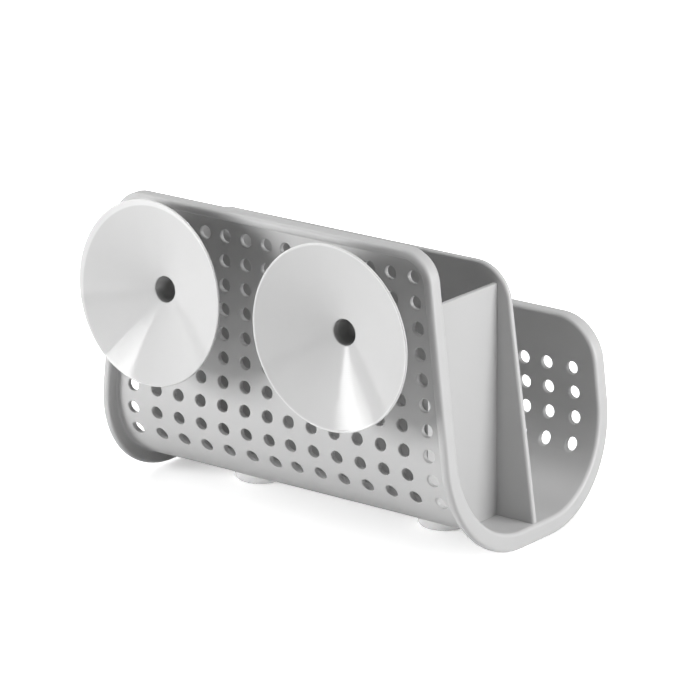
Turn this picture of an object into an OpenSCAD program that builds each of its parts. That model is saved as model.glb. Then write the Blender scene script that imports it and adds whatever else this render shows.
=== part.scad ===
// Kitchen sink caddy: a perforated U-shaped basket with a drop-in divider, two suction cups
// on the back panel and two clear bumper feet. Millimetres, +Z up, +Y towards the sink wall.
// The origin is on the surface that the feet stand on, under the middle of the whole caddy.

/* [Basket] */
// Depth over the outer faces of the back and front panels
body_depth = 87.4; // [80:0.1:110]
// Height of the back panel, from the underside to the top of its rim
back_h = 109.6; // [100:0.1:125]
// Height of the front panel, from the underside to the top of its rim
front_h = 64.8; // [58:0.1:75]
// Width over the rim at the top of the back panel
top_w = 139; // [132:1:150]
// Width over the rim at the underside
bottom_w = 164; // [156:1:176]
// Thickness of the panels and the bottom
wall = 2; // [1.6:0.1:2.6]
// Outer radius of the bend from each panel into the bottom
bend_r = 35; // [30:1:38]

/* [Rim] */
// How far the rim stands out from the outer face
rim_out = 4.3; // [3:0.1:5]
// How far the rim hangs below the underside
rim_under = 4.9; // [3.5:0.1:5.5]
// Thickness of the rim, measured along the panel
rim_t = 3.5; // [2.4:0.1:4.5]
// Outer corner radius of the back panel
back_corner_r = 12; // [8:0.5:18]
// Outer corner radius of the front panel
front_corner_r = 17; // [8:0.5:20]

/* [Perforations] */
// Diameter of each drain hole
hole_d = 4.7; // [3.6:0.1:5.2]
// How far the outermost columns start inside the basket's edge
col_edge = 9.37; // [9:0.01:14]
// Distance between rows
row_pitch = 9.03; // [8.6:0.01:9.3]
// Columns of holes on each side of the middle
half_cols = 7; // [5:1:7]
// Rows of holes in the back panel
back_rows = 10; // [8:1:10]
// Rows of holes in the front panel
front_rows = 4; // [3:1:5]
// Height from the back panel's top row up to the top of its rim
back_row_drop = 10.6; // [9:0.1:13]
// Height from the front panel's top row up to the top of its rim
front_row_drop = 19; // [15:0.1:22]

/* [Divider] */
// Height of the middle wall
mid_wall_h = 92.3; // [86:0.1:100]
// Thickness of the middle wall
mid_wall_t = 2.6; // [2:0.1:3.2]
// Height of the cross walls
cross_wall_h = 85.5; // [78:0.1:90]
// Thickness of the cross walls
cross_wall_t = 2; // [1.6:0.1:2.6]
// How far the cross walls stand inside the basket's edge, level with their top
cross_inset = 7.4; // [6:0.1:12]
// How far the middle wall's top stands inside the basket's edge
mid_top_inset = 3.3; // [2:0.1:5]
// How far the middle wall's foot stands inside the basket's edge
mid_foot_inset = 1; // [0.5:0.1:3]
// Radius of the middle wall's top corners
mid_corner_r = 14.5; // [8:0.5:18]
// Gap between the divider and the back panel
divider_gap = 0.3; // [0.2:0.05:0.5]

/* [Suction cups] */
// Diameter of the cup
cup_d = 67; // [56:1:74]
// Distance from the back panel to the plane of the cup's rim
cup_reach = 21.2; // [19:0.1:24]
// Depth of the cup's cone, from its rim to the mouth of the centre hole
cup_depth = 8.8; // [7:0.1:10]
// Thickness of the cup's rim
cup_edge = 1; // [0.8:0.1:1.6]
// Distance between the axes of the cups
cup_spacing = 79.7; // [77:0.1:90]
// Height from the cup axis up to the top of the back rim
cup_drop = 31; // [26:0.1:36]
// Diameter of the neck between the cup and the panel
neck_d = 16; // [14:0.5:20]
// Height of the neck
neck_h = 10; // [7:0.5:11]
// Diameter of the blind hole in the middle of the cup
pit_d = 9.4; // [8:0.1:11]
// Depth of the blind hole
pit_depth = 9; // [7:0.5:10]
// Diameter of the waist that sits in the back panel
waist_d = 10; // [9:0.1:12]
// Radial running clearance of the waist in its hole
waist_gap = 0.05; // [0.02:0.01:0.1]
// Gap between the panel and the neck, and between the panel and the head
collar_gap = 0.1; // [0.05:0.01:0.2]
// Diameter of the head inside the basket
head_d = 14; // [13:0.5:16]
// Height of the head
head_h = 4.5; // [3:0.1:6]

/* [Feet] */
// Diameter of each bumper foot
foot_d = 19; // [14:0.5:22]
// Height of each bumper foot
foot_h = 6; // [5.6:0.1:7]
// Radius of the foot's rounded lower edge
foot_round = 2; // [1:0.1:3]
// Distance between the centres of the feet
foot_spacing = 84; // [60:1:100]
// How far the feet stand behind the middle of the bottom
foot_back = 2; // [0:0.5:4]

/* [Hidden] */
$fn = 96;

// How far the rows of holes widen downwards, as a share of how far the sides spread
row_spread_share = 1.066;
// Gap between the two middle columns, as a share of the pitch
middle_gap_share = 0.937;
// Gap between the two outermost columns, as a share of the pitch, in each panel
back_outer_gap_share = 1.067;
front_outer_gap_share = 1.1;

// Overrun of every cut past the face that it opens
cut = 1;
// Plastic left between a drain hole and the hole that holds a cup
mount_land = 2.5;
// Smallest radius of the head's tip, as a share of the head
head_tip_share = 0.5;
// Height of the head's straight side, as a share of the head
head_side_share = 0.3;
// Bevel at the bottom of the blind hole, as a share of the hole's diameter
pit_bevel_share = 0.2;

// Levels, measured from the surface under the feet
under_z = foot_h;
floor_z = under_z + wall;
back_top = under_z + back_h;
front_top = under_z + front_h;
bend_z = under_z + bend_r;
cup_z = back_top - cup_drop;

// Half depths from the middle plane of the basket
outer_y = body_depth / 2;
inner_y = outer_y - wall;
bend_y = outer_y - bend_r;
rim_y = outer_y + rim_out;
cup_rim_y = outer_y + cup_reach;

// The origin sits under the middle of everything, cups included
origin_y = (cup_rim_y - rim_y) / 2;

// Half width over the rim at height z: the sides spread downwards
side_slope = (bottom_w - top_w) / 2 / back_h;
side_angle = atan(side_slope);
function half_w(z) = top_w / 2 + side_slope * (back_top - z);

cross_x = half_w(floor_z + cross_wall_h) - cross_inset;
cup_x = cup_spacing / 2;
foot_x = foot_spacing / 2;
mount_d = waist_d + 2 * waist_gap;

// Rows count downwards from the top of the back panel, columns outwards from the middle
first_front_row = back_rows - front_rows;
row_growth = row_spread_share * side_slope * row_pitch / (top_w / 2);
function row_spread(r) = 1 + row_growth * r;
function col_share(c, gap_share) = middle_gap_share / 2 + c + (c == half_cols - 1 ? gap_share - 1 : 0);
col_pitch = (top_w / 2 - col_edge) / col_share(half_cols - 1, back_outer_gap_share);
function col_x(c, r, gap_share) = col_pitch * col_share(c, gap_share) * row_spread(r);
function back_row_z(r) = back_top - back_row_drop - r * row_pitch;
function front_row_z(r) = front_top - front_row_drop - (r - first_front_row) * row_pitch;
function near_mount(x, z) =
    norm([x - cup_x, z - cup_z]) < (mount_d + hole_d) / 2 + mount_land;

module to_origin() {
    translate([0, -origin_y, 0]) children();
}

// Shapes drawn in the YZ plane and run along X, drawn in the XZ plane and run along Y
module along_x(length) {
    rotate([90, 0, 90]) linear_extrude(height = length, center = true) children();
}

module along_y(y0, y1) {
    translate([0, y1, 0]) rotate([90, 0, 0]) linear_extrude(height = y1 - y0) children();
}

// The U of the sling, open at the top: its sides move outwards, its bottom moves down
module u_profile(outwards, down) {
    r = bend_r + outwards;
    middle_z = under_z - down + r;
    for (side = [-1, 1]) translate([side * bend_y, middle_z]) circle(r = r);
    translate([-bend_y, middle_z - r]) square([2 * bend_y, r]);
    translate([-bend_y - r, middle_z]) square([2 * (bend_y + r), back_h]);
}

module u_band(outwards, down) {
    difference() {
        u_profile(outwards, down);
        u_profile(-wall, -wall);
    }
}

// Outline of a panel seen from the back, with rounded top corners, drawn in by an inset.
// Below the bend both panels share the same corner points, so that they meet without a step.
module panel_outline(top, corner_r, inset) {
    low = under_z - 2 * rim_under;
    edge_inset = inset / cos(side_angle);
    low_x = half_w(low) - edge_inset;
    bend_x = half_w(bend_z) - edge_inset;
    r = corner_r - inset;
    // The corner circle touches the top edge and the sloping side
    cz = top - corner_r;
    cx = half_w(cz) - corner_r / cos(side_angle);
    tangent = [cx + r * cos(side_angle), cz + r * sin(side_angle)];
    polygon([
        [-low_x, low],
        [-bend_x, bend_z],
        [-tangent[0], tangent[1]],
        [-cx, cz + r],
        [cx, cz + r],
        [tangent[0], tangent[1]],
        [bend_x, bend_z],
        [low_x, low]
    ]);
    for (side = [-1, 1]) translate([side * cx, cz]) circle(r = r);
}

module both_panels(inset) {
    along_y(0, rim_y + cut) panel_outline(back_top, back_corner_r, inset);
    along_y(-rim_y - cut, 0) panel_outline(front_top, front_corner_r, inset);
}

module sheet() {
    intersection() {
        along_x(2 * bottom_w) u_band(0, 0);
        both_panels(0);
    }
}

module rim() {
    intersection() {
        along_x(2 * bottom_w) u_band(rim_out, rim_under);
        difference() {
            both_panels(0);
            along_y(-cut, rim_y + 2 * cut) panel_outline(back_top, back_corner_r, rim_t);
            along_y(-rim_y - 2 * cut, cut / 2) panel_outline(front_top, front_corner_r, rim_t);
        }
    }
}

// Drain holes run straight through along Y, as the mould's pins do
module drain_hole(x, z, y0, y1) {
    translate([x, y1, z]) rotate([90, 0, 0]) cylinder(d = hole_d, h = y1 - y0);
}

module drain_holes() {
    for (side = [-1, 1], c = [0 : half_cols - 1]) {
        for (r = [0 : back_rows - 1]) {
            x = col_x(c, r, back_outer_gap_share);
            if (!near_mount(x, back_row_z(r)))
                drain_hole(side * x, back_row_z(r), 0, outer_y + cut);
        }
        for (r = [first_front_row : back_rows - 1])
            drain_hole(side * col_x(c, r, front_outer_gap_share), front_row_z(r), -outer_y - cut, 0);
    }
}

module cup_mounts() {
    for (side = [-1, 1])
        translate([side * cup_x, outer_y + cut, cup_z])
            rotate([90, 0, 0]) cylinder(d = mount_d, h = wall + 2 * cut);
}

module basket() {
    color([0.68, 0.68, 0.69]) to_origin() difference() {
        union() {
            sheet();
            rim();
        }
        drain_holes();
        cup_mounts();
    }
}

// Middle wall outline: narrower at the top, with rounded top corners
module mid_wall_outline() {
    top = floor_z + mid_wall_h;
    x_top = half_w(top) - mid_top_inset;
    x_foot = half_w(floor_z) - mid_foot_inset;
    slope = (x_foot - x_top) / mid_wall_h;
    angle = atan(slope);
    cz = top - mid_corner_r;
    cx = x_top + slope * mid_corner_r - mid_corner_r / cos(angle);
    tangent = [cx + mid_corner_r * cos(angle), cz + mid_corner_r * sin(angle)];
    polygon([
        [-x_foot, floor_z],
        [-tangent[0], tangent[1]],
        [-cx, top],
        [cx, top],
        [tangent[0], tangent[1]],
        [x_foot, floor_z]
    ]);
    for (side = [-1, 1]) translate([side * cx, cz]) circle(r = mid_corner_r);
}

// Cross wall outline in the YZ plane: it follows the bottom, the bend and the back panel
module cross_wall_outline() {
    intersection() {
        u_profile(-wall - divider_gap, -wall);
        square([inner_y, floor_z + cross_wall_h]);
    }
    square([bend_y, floor_z + cross_wall_h]);
}

module cross_walls() {
    for (side = [-1, 1])
        translate([side * (cross_x - cross_wall_t / 2), 0, 0]) along_x(cross_wall_t)
            difference() {
                cross_wall_outline();
                square([bend_y + cut, floor_z]);
            }
}

module divider() {
    color([0.66, 0.66, 0.67]) to_origin() {
        along_y(-mid_wall_t / 2, mid_wall_t / 2) mid_wall_outline();
        cross_walls();
    }
}

// Half section of a cup: x is the radius, y is the distance out from the panel
module cup_section() {
    mouth = cup_reach - cup_depth;
    head_top = -wall - collar_gap;
    head_side = head_top - head_side_share * head_h;
    pit_r = pit_d / 2;
    pit_bevel = pit_bevel_share * pit_d;
    polygon([
        [0, mouth - pit_depth],
        [0, head_top - head_h],
        [head_tip_share * head_d / 2, head_top - head_h],
        [head_d / 2, head_side],
        [head_d / 2, head_top],
        [waist_d / 2, head_top],
        [waist_d / 2, collar_gap],
        [neck_d / 2, collar_gap],
        [neck_d / 2, neck_h],
        [cup_d / 2, cup_reach - cup_edge],
        [cup_d / 2, cup_reach],
        [cup_d / 2 - cup_edge, cup_reach],
        [pit_r, mouth],
        [pit_r, mouth - pit_depth + pit_bevel],
        [pit_r - pit_bevel, mouth - pit_depth]
    ]);
}

module suction_cup(side) {
    color([0.93, 0.93, 0.92]) to_origin() translate([side * cup_x, outer_y, cup_z])
        rotate([-90, 0, 0]) rotate_extrude() cup_section();
}

// Half section of a foot: flat top and sole, rounded lower edge
module foot_section() {
    r = foot_d / 2;
    translate([0, foot_round]) square([r, foot_h - foot_round]);
    square([r - foot_round, foot_round + (foot_h - foot_round) / 2]);
    intersection() {
        translate([r - foot_round, foot_round]) circle(r = foot_round);
        square([r, foot_h]);
    }
}

module foot(side) {
    color([0.86, 0.88, 0.9, 0.6]) to_origin() translate([side * foot_x, foot_back, 0])
        rotate_extrude() foot_section();
}

basket();
divider();
suction_cup(1);  // suction_cup_left
suction_cup(-1);  // suction_cup_right
foot(1);  // foot_left
foot(-1);  // foot_right
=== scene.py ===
"""Kitchen sink caddy: the finished look of a perforated sling basket, its drop-in divider,
two suction cups and two clear bumper feet. Metres, +Z up, +Y towards the sink wall."""

import math

import bmesh
import bpy
from mathutils import Matrix, Vector


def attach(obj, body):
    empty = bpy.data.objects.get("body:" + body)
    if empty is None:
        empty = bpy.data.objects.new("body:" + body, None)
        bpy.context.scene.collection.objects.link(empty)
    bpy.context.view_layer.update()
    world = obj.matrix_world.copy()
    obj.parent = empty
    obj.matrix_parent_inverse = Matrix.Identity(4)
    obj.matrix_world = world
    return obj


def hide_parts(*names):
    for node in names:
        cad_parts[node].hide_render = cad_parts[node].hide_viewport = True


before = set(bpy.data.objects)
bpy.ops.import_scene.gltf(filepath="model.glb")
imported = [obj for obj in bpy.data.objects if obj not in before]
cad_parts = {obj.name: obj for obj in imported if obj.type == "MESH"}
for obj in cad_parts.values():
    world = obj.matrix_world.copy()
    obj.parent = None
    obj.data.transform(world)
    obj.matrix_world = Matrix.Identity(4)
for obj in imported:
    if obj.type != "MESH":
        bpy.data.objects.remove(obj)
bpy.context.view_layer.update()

MM = 0.001

# Basket, as in the part's source
MIDDLE_Y = -8.45 * MM
UNDER_Z = 6 * MM
WALL = 2 * MM
FLOOR_Z = UNDER_Z + WALL
OUTER_Y = 43.7 * MM
INNER_Y = OUTER_Y - WALL
BEND_R = 35 * MM
BEND_Y = OUTER_Y - BEND_R
BEND_Z = UNDER_Z + BEND_R
BACK_TOP = 115.6 * MM
FRONT_TOP = 70.8 * MM
TOP_HALF_W = 69.5 * MM
SIDE_SLOPE = 12.5 / 109.6
SIDE_ANGLE = math.atan(SIDE_SLOPE)
RIM_T = 3.5 * MM
RIM_OUT = 4.3 * MM
RIM_UNDER = 4.9 * MM
BACK_CORNER_R = 12 * MM
FRONT_CORNER_R = 17 * MM

# Roundings of the basket's rim, its drain holes and the holes that the cups sit in, and their steps
RIM_ROUND = 1.4 * MM
RIM_COVE = 0.8 * MM
HOLE_ROUND = 0.45 * MM
MOUNT_ROUND = 0.05 * MM
BEND_STEPS = 24
CORNER_STEPS = 12
ROUND_STEPS = 4

# An edge that turns more than this gets rounded, and points nearer than this are one point
SHARP_TURN = math.radians(60)
WELD = 0.001 * MM

# Drain holes. Each row is a little wider than the one above, as the basket's sides spread. The gaps
# across the middle and to the outermost columns are shares of the pitch.
HOLE_R = 2.35 * MM
HOLE_SIDES = 24
COL_PITCH = 9.2 * MM
ROW_PITCH = 9.03 * MM
HALF_COLS = 7
BACK_ROWS = 10
FRONT_ROWS = 4
BACK_ROW_TOP = BACK_TOP - 10.6 * MM
FRONT_ROW_TOP = FRONT_TOP - 19 * MM
ROW_GROWTH = 0.0158
MIDDLE_GAP = 0.937
BACK_OUTER_GAP = 1.067
FRONT_OUTER_GAP = 1.1

# Divider
MID_T = 2.6 * MM
MID_TOP = FLOOR_Z + 92.3 * MM
MID_TOP_INSET = 3.3 * MM
MID_FOOT_INSET = 1 * MM
MID_CORNER_R = 14.5 * MM
MID_ROUND = 1.1 * MM
CROSS_T = 2 * MM
CROSS_TOP = FLOOR_Z + 85.5 * MM
CROSS_INSET = 7.4 * MM
CROSS_ROUND = 0.4 * MM
DIVIDER_GAP = 0.3 * MM

# Suction cups, with lengths out from the back panel. RING_PITCH is that of the fine turned rings,
# and MOUNT_LAND the sheet that is left between a cup's hole and the nearest drain hole.
CUP_X = 39.85 * MM
CUP_Z = 84.6 * MM
CUP_R = 33.5 * MM
CUP_REACH = 21.2 * MM
CUP_DEPTH = 8.8 * MM
RING_PITCH = 0.7 * MM
NECK_R = 8 * MM
NECK_H = 10 * MM
NECK_FOOT = 1 * MM
NECK_FILLET = 2 * MM
PIT_R = 4.7 * MM
PIT_DEPTH = 9 * MM
PIT_FILLET = 2 * MM
MOUTH_ROUND = 0.5 * MM
MOUTH_SINK = 0.42 * MM
CUP_LIP = 0.45 * MM
WAIST_R = 5 * MM
MOUNT_R = 5.05 * MM
MOUNT_LAND = 2.5 * MM
HEAD_R = 7 * MM
HEAD_H = 4.5 * MM
HEAD_CHAMFER = 0.3 * MM
COLLAR_GAP = 0.1 * MM
CUP_SIDES = 128

# How the soft left cup leans as it hangs free: towards +X, and upwards
LEAN_SIDE = math.radians(2.7)
LEAN_UP = math.radians(3.7)

# Feet, under the middle of the sling and a little towards the back
FOOT_X = 42 * MM
FOOT_BACK = 2 * MM
FOOT_R = 9.5 * MM
FOOT_ROUND = 2 * MM
FOOT_SIDES = 64

# The photograph's camera, solved from the drain holes, the walls and the cups: the way to it, its
# lens on a 36 mm sensor, and its place from a point on the back panel
CAMERA_AZIMUTH = 218.059
CAMERA_ELEVATION = 17.620
CAMERA_ROLL = -0.359
CAMERA_LENS = 242.4
CAMERA_POINT = Vector((0, 35.25 * MM, 105 * MM))
CAMERA_BACK = 1641.25 * MM
CAMERA_RIGHT = 25.88 * MM
CAMERA_DOWN = 35.69 * MM

# Soft boxes round the object, aimed at its middle: angles in degrees, metres and watts. low_fill
# only lights, and glint only shines, as the bright fans in the two cups.
LAMP_AIM = Vector((0, 0, 0.05))
LAMPS = (
    {"name": "key", "azimuth": 290, "elevation": 10, "distance": 1.0, "size": (0.7, 0.7),
     "power": 10.8},
    {"name": "low_fill", "azimuth": 144, "elevation": 8, "distance": 1.0, "size": (0.4, 0.45),
     "power": 10.7, "shines": False},
    {"name": "left", "azimuth": 90, "elevation": 50, "distance": 1.0, "size": (0.7, 0.7),
     "power": 3.0},
    {"name": "top", "azimuth": 270, "elevation": 70, "distance": 1.0, "size": (0.7, 0.7),
     "power": 5.0},
    {"name": "glint", "azimuth": 144, "elevation": 7, "distance": 0.4, "size": (0.055, 0.115),
     "power": 0.19, "roll": -30, "lights": False},
)


def half_width(z):
    """Half the basket's width over its rim at height z: the sides spread downwards."""
    return TOP_HALF_W + SIDE_SLOPE * (BACK_TOP - z)


def outward(point):
    """The way out of the sling at a point: level on the panels, down at the bottom."""
    y = point.y - MIDDLE_Y
    if point.z >= BEND_Z:
        return Vector((0, math.copysign(1, y), 0))
    if abs(y) <= BEND_Y:
        return Vector((0, 0, -1))
    return Vector((0, y - math.copysign(BEND_Y, y), point.z - BEND_Z)).normalized()


def surface_y(z, radius, half_depth):
    """Distance from the middle plane to a surface of the sling at height z."""
    if z >= BEND_Z:
        return half_depth
    return BEND_Y + math.sqrt(max(radius**2 - (BEND_Z - z) ** 2, 0))


def finished(bm, name, closed=True):
    """Turns a bmesh into a shown object with its faces pointing outwards."""
    bmesh.ops.remove_doubles(bm, verts=bm.verts[:], dist=WELD)
    if closed:
        bmesh.ops.recalc_face_normals(bm, faces=bm.faces[:])
    mesh = bpy.data.meshes.new(name)
    bm.to_mesh(mesh)
    bm.free()
    piece = bpy.data.objects.new(name, mesh)
    bpy.context.scene.collection.objects.link(piece)
    return piece


def lathe(bm, points, sides):
    """Turns a profile of (radius, height) points round the Z axis into a closed shape."""
    line = [bm.verts.new((radius, 0, height)) for radius, height in points]
    edges = [bm.edges.new(pair) for pair in zip(line, line[1:])]
    bmesh.ops.spin(
        bm, geom=line + edges, cent=(0, 0, 0), axis=(0, 0, 1), angle=math.tau,
        steps=sides, use_merge=True,
    )
    bmesh.ops.remove_doubles(bm, verts=bm.verts[:], dist=WELD)
    bmesh.ops.recalc_face_normals(bm, faces=bm.faces[:])


def arc(centre, radius, start, end, steps):
    """Points on an arc, its angles in degrees."""
    angles = [math.radians(start + (end - start) * i / steps) for i in range(steps + 1)]
    return [(centre[0] + radius * math.cos(a), centre[1] + radius * math.sin(a)) for a in angles]


def combined(piece, other, operation):
    """Applies an exact boolean of piece with other, which is then removed."""
    change = piece.modifiers.new("join", "BOOLEAN")
    change.operation = operation
    change.solver = "EXACT"
    change.object = other
    shape = piece.evaluated_get(bpy.context.evaluated_depsgraph_get())
    mesh = bpy.data.meshes.new_from_object(shape)
    piece.modifiers.clear()
    plain = piece.data
    piece.data = mesh
    mesh.name = plain.name
    bpy.data.meshes.remove(plain)
    spare = other.data
    bpy.data.objects.remove(other)
    bpy.data.meshes.remove(spare)
    return piece


def smooth(piece, angle):
    """Smooth shading that stays crisp on edges sharper than angle, in degrees."""
    for face in piece.data.polygons:
        face.use_smooth = True
    piece.data.set_sharp_from_angle(angle=math.radians(angle))
    weighted = piece.modifiers.new("even_shading", "WEIGHTED_NORMAL")
    weighted.keep_sharp = True
    weighted.mode = "FACE_AREA"


def hole_columns(row, outer_gap):
    """The X of each drain hole of a row, counted from the back panel's top row."""
    spread = COL_PITCH * (1 + ROW_GROWTH * row)
    for column in range(HALF_COLS):
        share = MIDDLE_GAP / 2 + column + (outer_gap - 1 if column == HALF_COLS - 1 else 0)
        for side in (-1, 1):
            yield side * share * spread


def drain_holes():
    """The (x, z, side) of each drain hole: side is 1 on the back panel and -1 on the front."""
    for row in range(BACK_ROWS):
        z = BACK_ROW_TOP - row * ROW_PITCH
        for x in hole_columns(row, BACK_OUTER_GAP):
            if math.hypot(abs(x) - CUP_X, z - CUP_Z) >= MOUNT_R + HOLE_R + MOUNT_LAND:
                yield x, z, 1
    for row in range(FRONT_ROWS):
        z = FRONT_ROW_TOP - row * ROW_PITCH
        for x in hole_columns(row + BACK_ROWS - FRONT_ROWS, FRONT_OUTER_GAP):
            yield x, z, -1


def hole_pin(bm, x, z, side, radius, edge_round):
    """One pin of the cutter: a rod along Y that flares where it leaves either face of the sheet.

    The flare has two flats, a steep one and then a shallow one that runs on past the face.
    """
    past = 0.12 * MM
    mid = 0.3 * edge_round
    wide = radius + mid + (edge_round - mid) / mid * (mid + past)
    outer = [(0, past), (wide, past), (radius + mid, -mid), (radius, -edge_round)]
    pin = bmesh.new()
    lathe(pin, [(r, WALL + h) for r, h in outer] + [(r, -h) for r, h in reversed(outer)], HOLE_SIDES)
    for vert in pin.verts:
        across, up, height = vert.co
        if height > WALL / 2:
            y = surface_y(z + up, BEND_R, OUTER_Y) + height - WALL
        else:
            y = surface_y(z + up, BEND_R - WALL, INNER_Y) + height
        vert.co = (x + across, MIDDLE_Y + side * y, z + up)
    if side > 0:
        bmesh.ops.reverse_faces(pin, faces=pin.faces[:])
    mesh = bpy.data.meshes.new("pin")
    pin.to_mesh(mesh)
    pin.free()
    bm.from_mesh(mesh)
    bpy.data.meshes.remove(mesh)


def hole_cutter():
    """All drain holes and cup mounts as one cutter."""
    bm = bmesh.new()
    for x, z, side in drain_holes():
        hole_pin(bm, x, z, side, HOLE_R, HOLE_ROUND)
    for x in (-CUP_X, CUP_X):
        hole_pin(bm, x, CUP_Z, 1, MOUNT_R, MOUNT_ROUND)
    return finished(bm, "hole_cutter", closed=False)


def bent_sheet():
    """The inner surface of the sling: a line bent round two corners, drawn out along X."""
    reach = half_width(UNDER_Z - RIM_UNDER) + 10 * MM
    bm = bmesh.new()
    vert = bm.verts.new((-reach, MIDDLE_Y + INNER_Y, BACK_TOP))

    def straight_to(vert, y, z):
        end = bmesh.ops.extrude_vert_indiv(bm, verts=[vert])["verts"][0]
        end.co = (-reach, MIDDLE_Y + y, z)
        return end

    def bend(vert, y):
        turned = bmesh.ops.spin(
            bm, geom=[vert], cent=(-reach, MIDDLE_Y + y, BEND_Z), axis=(-1, 0, 0),
            angle=math.pi / 2, steps=BEND_STEPS,
        )
        return [v for v in turned["geom_last"] if isinstance(v, bmesh.types.BMVert)][0]

    vert = straight_to(vert, INNER_Y, BEND_Z)
    vert = bend(vert, BEND_Y)
    vert = straight_to(vert, -BEND_Y, FLOOR_Z)
    vert = bend(vert, -BEND_Y)
    straight_to(vert, -INNER_Y, FRONT_TOP)
    drawn = bmesh.ops.extrude_edge_only(bm, edges=bm.edges[:])["geom"]
    moved = [v for v in drawn if isinstance(v, bmesh.types.BMVert)]
    bmesh.ops.translate(bm, verts=moved, vec=(2 * reach, 0, 0))
    for side in (-1, 1):
        bmesh.ops.bisect_plane(
            bm, geom=bm.verts[:] + bm.edges[:] + bm.faces[:],
            plane_co=(side * TOP_HALF_W, 0, BACK_TOP), plane_no=(side, 0, SIDE_SLOPE),
            clear_outer=True,
        )
    return bm


def round_top_corners(bm, top, radius):
    """Rounds the two corners of a panel's top edge."""
    corners = [v for v in bm.verts if abs(v.co.z - top) < 0.01 * MM]
    tangent = radius / math.tan(math.pi / 4 + SIDE_ANGLE / 2)
    bmesh.ops.bevel(
        bm, geom=corners, offset=tangent, offset_type="OFFSET", segments=CORNER_STEPS,
        profile=0.5, affect="VERTICES", material=-1,
    )


def push_out(verts, distance, extra_below=0.0):
    """Moves vertices out of the sling, and a little more where that is downwards."""
    for vert in verts:
        way = outward(vert.co)
        vert.co += way * (distance - extra_below * way.z)


def basket():
    """The sling with its rim, rounded edges and drain holes."""
    bm = bent_sheet()
    round_top_corners(bm, BACK_TOP, BACK_CORNER_R)
    round_top_corners(bm, FRONT_TOP, FRONT_CORNER_R)
    band = bmesh.ops.inset_region(
        bm, faces=bm.faces[:], thickness=RIM_T, use_boundary=True, use_even_offset=True
    )["faces"]
    for face in band:
        face.material_index = 1
    skin = bmesh.ops.extrude_face_region(bm, geom=bm.faces[:])["geom"]
    push_out([v for v in skin if isinstance(v, bmesh.types.BMVert)], WALL)
    under_lip = [f for f in skin if isinstance(f, bmesh.types.BMFace) and f.material_index == 1]
    lip = bmesh.ops.extrude_face_region(bm, geom=under_lip)["geom"]
    bmesh.ops.delete(bm, geom=under_lip, context="FACES")
    lip_verts = [v for v in lip if isinstance(v, bmesh.types.BMVert)]
    push_out(lip_verts, RIM_OUT, RIM_UNDER - RIM_OUT)
    bmesh.ops.recalc_face_normals(bm, faces=bm.faces[:])
    for face in bm.faces:
        face.material_index = 0
    sharp = [e for e in bm.edges if e.calc_face_angle(0) > SHARP_TURN]
    hollow = [e for e in sharp if not e.is_convex]
    proud = [e for e in sharp if e.is_convex]
    bmesh.ops.bevel(
        bm, geom=hollow, offset=RIM_COVE, offset_type="OFFSET", segments=ROUND_STEPS,
        profile=0.5, affect="EDGES", material=-1,
    )
    proud = [e for e in proud if e.is_valid]
    bmesh.ops.bevel(
        bm, geom=proud, offset=RIM_ROUND, offset_type="OFFSET", segments=ROUND_STEPS,
        profile=0.5, affect="EDGES", material=-1,
    )
    piece = finished(bm, "basket_shell")
    combined(piece, hole_cutter(), "DIFFERENCE")
    smooth(piece, 50)
    return piece


def middle_wall():
    """The divider's tall wall, with rounded top corners and soft edges."""
    x_top = half_width(MID_TOP) - MID_TOP_INSET
    x_foot = half_width(FLOOR_Z) - MID_FOOT_INSET
    angle = math.atan((x_foot - x_top) / (MID_TOP - FLOOR_Z))
    bm = bmesh.new()
    outline = [(-x_foot, FLOOR_Z), (x_foot, FLOOR_Z), (x_top, MID_TOP), (-x_top, MID_TOP)]
    face = bm.faces.new([bm.verts.new((x, MIDDLE_Y - MID_T / 2, z)) for x, z in outline])
    corners = [v for v in face.verts if v.co.z > FLOOR_Z + MID_T]
    bmesh.ops.bevel(
        bm, geom=corners, offset=MID_CORNER_R / math.tan(math.pi / 4 + angle / 2),
        offset_type="OFFSET", segments=CORNER_STEPS, profile=0.5, affect="VERTICES",
        material=-1,
    )
    grown = bmesh.ops.extrude_face_region(bm, geom=bm.faces[:])["geom"]
    moved = [v for v in grown if isinstance(v, bmesh.types.BMVert)]
    bmesh.ops.translate(bm, verts=moved, vec=(0, MID_T, 0))
    bmesh.ops.recalc_face_normals(bm, faces=bm.faces[:])
    rims = [e for e in bm.edges if e.calc_face_angle(0) > SHARP_TURN]
    rims = [e for e in rims if max(v.co.z for v in e.verts) > FLOOR_Z + MID_T]
    rims = [e for e in rims if abs(e.verts[0].co.y - e.verts[1].co.y) < MID_T / 2]
    bmesh.ops.bevel(
        bm, geom=rims, offset=MID_ROUND, offset_type="OFFSET", segments=ROUND_STEPS,
        profile=0.5, affect="EDGES", material=-1,
    )
    return finished(bm, "divider_walls")


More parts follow.
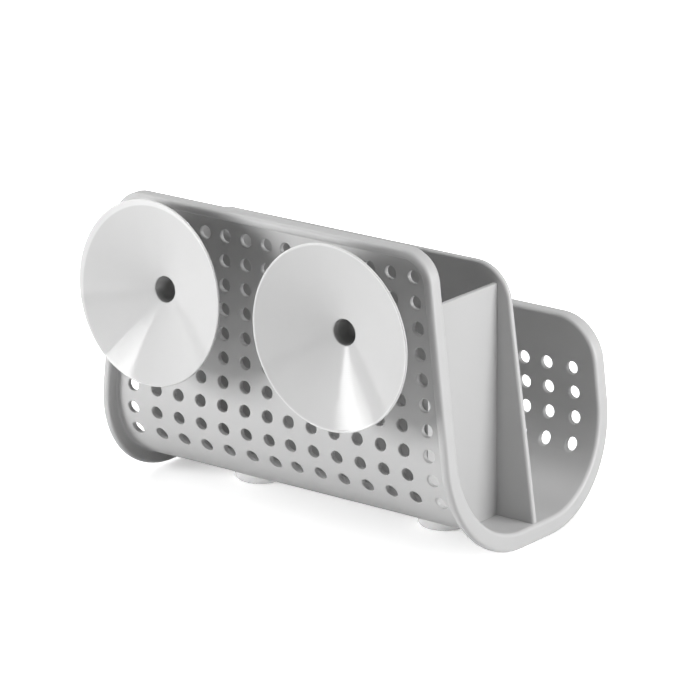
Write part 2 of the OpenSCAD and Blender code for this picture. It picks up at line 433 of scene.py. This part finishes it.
def cross_wall(side):
    """One lower wall of the divider: it runs back to the panel and follows the bend."""
    x = side * (half_width(CROSS_TOP) - CROSS_INSET)
    radius = BEND_R - WALL - DIVIDER_GAP
    bm = bmesh.new()
    foot = arc((BEND_Y, FLOOR_Z + radius), radius, -90, 0, BEND_STEPS)
    outline = [(0, FLOOR_Z)] + foot + [(BEND_Y + radius, CROSS_TOP), (0, CROSS_TOP)]
    bm.faces.new([bm.verts.new((x, MIDDLE_Y + y, z)) for y, z in outline])
    grown = bmesh.ops.extrude_face_region(bm, geom=bm.faces[:])["geom"]
    moved = [v for v in grown if isinstance(v, bmesh.types.BMVert)]
    bmesh.ops.translate(bm, verts=moved, vec=(-side * CROSS_T, 0, 0))
    bmesh.ops.recalc_face_normals(bm, faces=bm.faces[:])
    tops = [e for e in bm.edges if min(v.co.z for v in e.verts) > CROSS_TOP - CROSS_T]
    tops = [e for e in tops if abs(e.verts[0].co.x - e.verts[1].co.x) < CROSS_T / 2]
    bmesh.ops.bevel(
        bm, geom=tops, offset=CROSS_ROUND, offset_type="OFFSET", segments=2,
        profile=0.5, affect="EDGES", material=-1,
    )
    return finished(bm, "cross_wall")


def divider():
    """The drop-in partition: a tall middle wall and two lower cross walls."""
    piece = middle_wall()
    for side in (-1, 1):
        combined(piece, cross_wall(side), "UNION")
    smooth(piece, 40)
    return piece


def cup_profile():
    """Half section of a suction cup: radius, and distance out from the panel."""
    mouth = CUP_REACH - CUP_DEPTH
    pit_floor = mouth - PIT_DEPTH
    under_cone = NECK_H + 0.8 * MM
    fillet_r = NECK_R + NECK_FILLET
    head_top = -WALL - COLLAR_GAP
    head_end = head_top - HEAD_H
    hole = (
        [(0, pit_floor)]
        + arc((PIT_R - PIT_FILLET, pit_floor + PIT_FILLET), PIT_FILLET, -90, 0, 6)
        + arc((PIT_R + MOUTH_ROUND, mouth - MOUTH_SINK), MOUTH_ROUND, 180, 105, 5)
    )
    cone = (
        [(CUP_R - 3 * CUP_LIP, CUP_REACH - 0.55 * CUP_LIP)]
        + arc((CUP_R - CUP_LIP, CUP_REACH - CUP_LIP), CUP_LIP, 100, -60, 8)
        + [(fillet_r, under_cone)]
        + arc((fillet_r, under_cone - NECK_FILLET), NECK_FILLET, 100, 180, 5)
    )
    waist = [(NECK_R, COLLAR_GAP), (WAIST_R, COLLAR_GAP), (WAIST_R, head_top)]
    head = [
        (HEAD_R - HEAD_CHAMFER, head_top), (HEAD_R, head_top - HEAD_CHAMFER),
        (HEAD_R, head_top - 0.3 * HEAD_H), (HEAD_R / 2 + 0.6 * MM, head_end + 0.6 * MM),
        (HEAD_R / 2 - 0.4 * MM, head_end), (0, head_end),
    ]
    return hole + cone + waist + head


def suction_cup(name, x, lean_side=0.0, lean_up=0.0):
    """One cup, turned about its own axis and set on the back panel. Its soft neck may lean."""
    bm = bmesh.new()
    lathe(bm, cup_profile(), CUP_SIDES)
    beyond_neck = [v for v in bm.verts if v.co.z > NECK_FOOT]
    bmesh.ops.rotate(
        bm, verts=beyond_neck, cent=(0, 0, 0),
        matrix=Matrix.Rotation(lean_side, 3, "Y") @ Matrix.Rotation(lean_up, 3, "X"),
    )
    on_panel = Matrix.Translation((x, MIDDLE_Y + OUTER_Y, CUP_Z))
    bmesh.ops.transform(
        bm, matrix=on_panel @ Matrix.Rotation(-math.pi / 2, 4, "X"), verts=bm.verts[:]
    )
    piece = finished(bm, name)
    smooth(piece, 50)
    return piece


def foot(name, x):
    """One clear bumper: a low disc with a rounded lower edge and a flat sole."""
    bm = bmesh.new()
    side = arc((FOOT_R - FOOT_ROUND, FOOT_ROUND), FOOT_ROUND, -90, 0, 8)
    lathe(bm, [(0, 0)] + side + [(FOOT_R, UNDER_Z), (0, UNDER_Z)], FOOT_SIDES)
    bmesh.ops.translate(bm, verts=bm.verts[:], vec=(x, MIDDLE_Y + FOOT_BACK, 0))
    piece = finished(bm, name)
    smooth(piece, 50)
    return piece


class Wire:
    """A value in a material's node tree. Plain operators on it add Math nodes."""

    def __init__(self, paint, socket):
        self.paint, self.socket = paint, socket

    def __add__(self, other):
        return self.paint.math("ADD", self, other)

    def __sub__(self, other):
        return self.paint.math("SUBTRACT", self, other)

    def __rsub__(self, other):
        return self.paint.math("SUBTRACT", other, self)

    def __mul__(self, other):
        return self.paint.math("MULTIPLY", self, other)

    __radd__ = __add__
    __rmul__ = __mul__


class Paint:
    """A material, or a world, and its node tree."""

    def __init__(self, name, home="materials", output="OutputMaterial"):
        self.owner = getattr(bpy.data, home).new(name)
        self.output = output
        self.owner.use_nodes = True
        self.tree = self.owner.node_tree
        self.tree.nodes.clear()

    def node(self, kind, settings=None, inputs=None, output=0):
        """Adds a node: its settings first, then the values or links of its sockets."""
        made = self.tree.nodes.new("ShaderNode" + kind)
        for key, value in (settings or {}).items():
            setattr(made, key, value)
        for key, value in (inputs or {}).items():
            if isinstance(value, Wire):
                self.tree.links.new(value.socket, made.inputs[key])
            else:
                made.inputs[key].default_value = value
        return Wire(self, made.outputs[output])

    def math(self, operation, first, second=0.0):
        """A Math node on two values."""
        return self.node("Math", {"operation": operation}, {0: first, 1: second})

    def blend(self, share, first, second, way="MIX"):
        """A colour between two others."""
        settings = {"data_type": "RGBA", "blend_type": way}
        return self.node("Mix", settings, {"Factor": share, "A": first, "B": second}, "Result")

    def noise(self, place, scale, detail, **more):
        """A noise of the given scale, in patches per metre."""
        return self.node("TexNoise", {}, {"Vector": place, "Scale": scale, "Detail": detail, **more})

    def ramp(self, value, none, full):
        """0 where the value is at none, 1 where it is at full, and even steps between."""
        return self.node("MapRange", {}, {"Value": value, "From Min": none, "From Max": full})

    def finish(self, surface):
        """Ends the tree in the surface of the material or the world, and gives that."""
        end = self.tree.nodes.new("ShaderNode" + self.output)
        self.tree.links.new(surface.socket, end.inputs["Surface"])
        return self.owner


def grey(value):
    """An even grey as a colour."""
    return (value, value, value, 1)


def moulded_plastic():
    """Light grey matt plastic: a fine spark-eroded grain, faint clouds and wear."""
    paint = Paint("grey_plastic")
    place = paint.node("TexCoord", output="Object")
    grain = paint.noise(place, 2600, 3, Roughness=0.6)
    clouds = paint.noise(place, 26, 4, Roughness=0.55)
    flow = paint.noise(place, 9, 2)
    tone = paint.blend(clouds * 0.6 + flow * 0.4, grey(0.45), grey(0.48))
    tone = paint.blend(grain * 0.05, tone, grey(0.6), "MULTIPLY")
    relief = paint.node("Bump", {}, {"Strength": 0.3, "Distance": 0.06 * MM, "Height": grain})
    shine = paint.node("BsdfPrincipled", {}, {
        "Base Color": tone,
        "Roughness": 0.34 + clouds * 0.08,
        "Normal": relief,
        "IOR": 1.5,
    })
    return paint.finish(shine)


def milky_rubber():
    """Glossy white rubber, turned in fine rings. Its colour is lightened towards the rim's edge as a
    painted highlight, and darkened inside its blind hole as painted shade."""
    paint = Paint("cup_rubber")
    place = paint.node("TexCoord", output="Object")
    clouds = paint.noise(place, 40, 3)
    fine = paint.noise(place, 900, 2)
    split = {axis: paint.node("SeparateXYZ", {}, {0: place}, axis) for axis in ("X", "Y", "Z")}
    across = paint.math("ABSOLUTE", split["X"]) - CUP_X
    height = split["Z"] - CUP_Z
    radius = paint.math("SQRT", across * across + height * height)
    rings = paint.math("SINE", radius * (math.tau / RING_PITCH) + fine * 3)
    mouth = MIDDLE_Y + OUTER_Y + CUP_REACH - CUP_DEPTH
    under_pit = mouth - PIT_DEPTH - 1.2 * MM
    # Painted shade: the base colour goes dark grey inside the blind hole, where shade falls; the same
    # mask also makes the pit rougher.
    inside = paint.ramp(radius, PIT_R + 0.5 * MM, PIT_R + 0.1 * MM)
    below = paint.ramp(split["Y"], mouth, mouth - 3 * MM)
    above = paint.ramp(split["Y"], under_pit - 0.2 * MM, under_pit)
    painted_pit_shade_mask = inside * below * above
    # Painted highlight: the colour lightens over the outermost millimetre of the cup's rim.
    painted_rim_highlight = paint.ramp(radius, CUP_R - 1.1 * MM, CUP_R - 0.6 * MM)
    tone = paint.blend(clouds, grey(0.50), grey(0.53))
    tone = paint.blend(painted_rim_highlight * 0.5, tone, grey(0.75))
    tone = paint.blend(painted_pit_shade_mask, tone, grey(0.3))
    relief = paint.node(
        "Bump", {}, {"Strength": 0.25, "Distance": 0.02 * MM, "Height": rings * 0.6 + fine}
    )
    shine = paint.node("BsdfPrincipled", {}, {
        "Base Color": tone,
        "Roughness": 0.015 + fine * 0.02 + painted_pit_shade_mask * 0.4,
        "Normal": relief,
        "IOR": 1.42,
    })
    return paint.finish(shine)


def clear_rubber():
    """Clear soft bumper rubber: the floor shows through it."""
    paint = Paint("clear_rubber")
    place = paint.node("TexCoord", output="Object")
    fine = paint.noise(place, 500, 2)
    clouds = paint.noise(place, 120, 2)
    relief = paint.node("Bump", {}, {"Strength": 0.1, "Distance": 0.05 * MM, "Height": fine})
    shine = paint.node("BsdfPrincipled", {}, {
        "Base Color": paint.blend(fine, grey(0.86), grey(0.92)),
        "Roughness": 0.1 + fine * 0.06,
        "Normal": relief,
        "IOR": 1.45,
        "Alpha": 0.36 + clouds * 0.1,
    })
    return paint.finish(shine)


def dress(piece, material, body, slot, *nodes):
    """Gives a piece its material and its body, and hides the nodes that it stands for. The slot is not
    used.
    """
    piece.data.materials.clear()
    piece.data.materials.append(material)
    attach(piece, body)
    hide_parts(*nodes)


def way_to(azimuth, elevation):
    """The way out from the object: azimuth 0 is in front, and 90 is at +X."""
    a, e = math.radians(azimuth), math.radians(elevation)
    return Vector((math.sin(a) * math.cos(e), -math.cos(a) * math.cos(e), math.sin(e)))


def lamp(name, azimuth, elevation, distance, size, power, roll=0, lights=True, shines=True):
    """A soft box that points at the object. It can light, shine in reflections, or both."""
    data = bpy.data.lights.new(name, "AREA")
    data.shape = "RECTANGLE"
    data.size, data.size_y = size
    data.energy = power
    light = bpy.data.objects.new(name, data)
    way = way_to(azimuth, elevation)
    facing = way.to_track_quat("Z", "Y").to_matrix().to_4x4()
    turn = Matrix.Rotation(math.radians(roll), 4, "Z")
    light.matrix_world = Matrix.Translation(LAMP_AIM + way * distance) @ facing @ turn
    light.visible_camera = False
    light.visible_diffuse = lights
    light.visible_glossy = shines
    bpy.context.scene.collection.objects.link(light)


def photo_camera():
    """The camera at the photograph's place: behind the caddy, towards its -X end."""
    back = way_to(CAMERA_AZIMUTH, CAMERA_ELEVATION)
    azimuth, roll = math.radians(CAMERA_AZIMUTH), math.radians(CAMERA_ROLL)
    level = Vector((math.cos(azimuth), math.sin(azimuth), 0))
    upright = back.cross(level)
    right = math.cos(roll) * level + math.sin(roll) * upright
    up = math.cos(roll) * upright - math.sin(roll) * level
    place = CAMERA_POINT + back * CAMERA_BACK + right * CAMERA_RIGHT - up * CAMERA_DOWN
    data = bpy.data.cameras.new("photo_camera")
    data.sensor_fit = "HORIZONTAL"
    data.sensor_width = 36
    data.lens = CAMERA_LENS
    data.clip_start = 0.05
    data.clip_end = 50
    camera = bpy.data.objects.new("photo_camera", data)
    turn = Matrix((right, up, back)).transposed().to_4x4()
    camera.matrix_world = Matrix.Translation(place) @ turn
    bpy.context.scene.collection.objects.link(camera)
    bpy.context.scene.camera = camera


def floor_paint():
    """A plain pale floor. To the camera it glows to white away from the object, and keeps the
    object's shadow near it."""
    paint = Paint("floor")
    seen = paint.node("LightPath", output="Is Camera Ray")
    lit = paint.node("BsdfDiffuse", {}, {"Color": grey(0.95)})
    shadowed = paint.node("BsdfDiffuse", {}, {"Color": grey(1.5)})
    place = paint.node("TexCoord", output="Object")
    away = paint.node("VectorMath", {"operation": "LENGTH"}, {0: place}, "Value")
    glow = paint.node(
        "Emission", {}, {"Color": paint.blend(paint.ramp(away, 0.15, 0.5), grey(0.38), grey(1))}
    )
    shown = paint.node("AddShader", {}, {0: shadowed, 1: glow})
    return paint.finish(paint.node("MixShader", {}, {0: seen, 1: lit, 2: shown}))


def white_surround():
    """A world that shows white to the camera and in reflections, and gives no light."""
    sky = Paint("studio", "worlds", "OutputWorld")
    seen = sky.node("LightPath", output="Is Camera Ray")
    for ray in ("Is Glossy Ray", "Is Transmission Ray"):
        seen = sky.math("MAXIMUM", seen, sky.node("LightPath", output=ray))
    return sky.finish(sky.node("Background", {}, {"Color": grey(1), "Strength": seen}))


def studio():
    """Pale floor, white surroundings and soft lamps."""
    bm = bmesh.new()
    bmesh.ops.create_grid(bm, x_segments=1, y_segments=1, size=6)
    floor = finished(bm, "floor", closed=False)
    floor.data.materials.append(floor_paint())
    bpy.context.scene.world = white_surround()
    for values in LAMPS:
        lamp(**values)
    bpy.context.scene.view_settings.view_transform = "Standard"


photo_camera()
studio()

plastic = moulded_plastic()
rubber = milky_rubber()
clear = clear_rubber()
dress(basket(), plastic, "basket", "grey_plastic", "basket")
dress(divider(), plastic, "divider", "grey_plastic", "divider")
left_cup = suction_cup("cup_left", CUP_X, LEAN_SIDE, LEAN_UP)
dress(left_cup, rubber, "suction_cup_left", "cup_rubber", "suction_cup_left")
dress(suction_cup("cup_right", -CUP_X), rubber, "suction_cup_right", "cup_rubber", "suction_cup_right")
dress(foot("bumper_left", FOOT_X), clear, "basket", "clear_rubber", "foot_left")
dress(foot("bumper_right", -FOOT_X), clear, "basket", "clear_rubber", "foot_right")
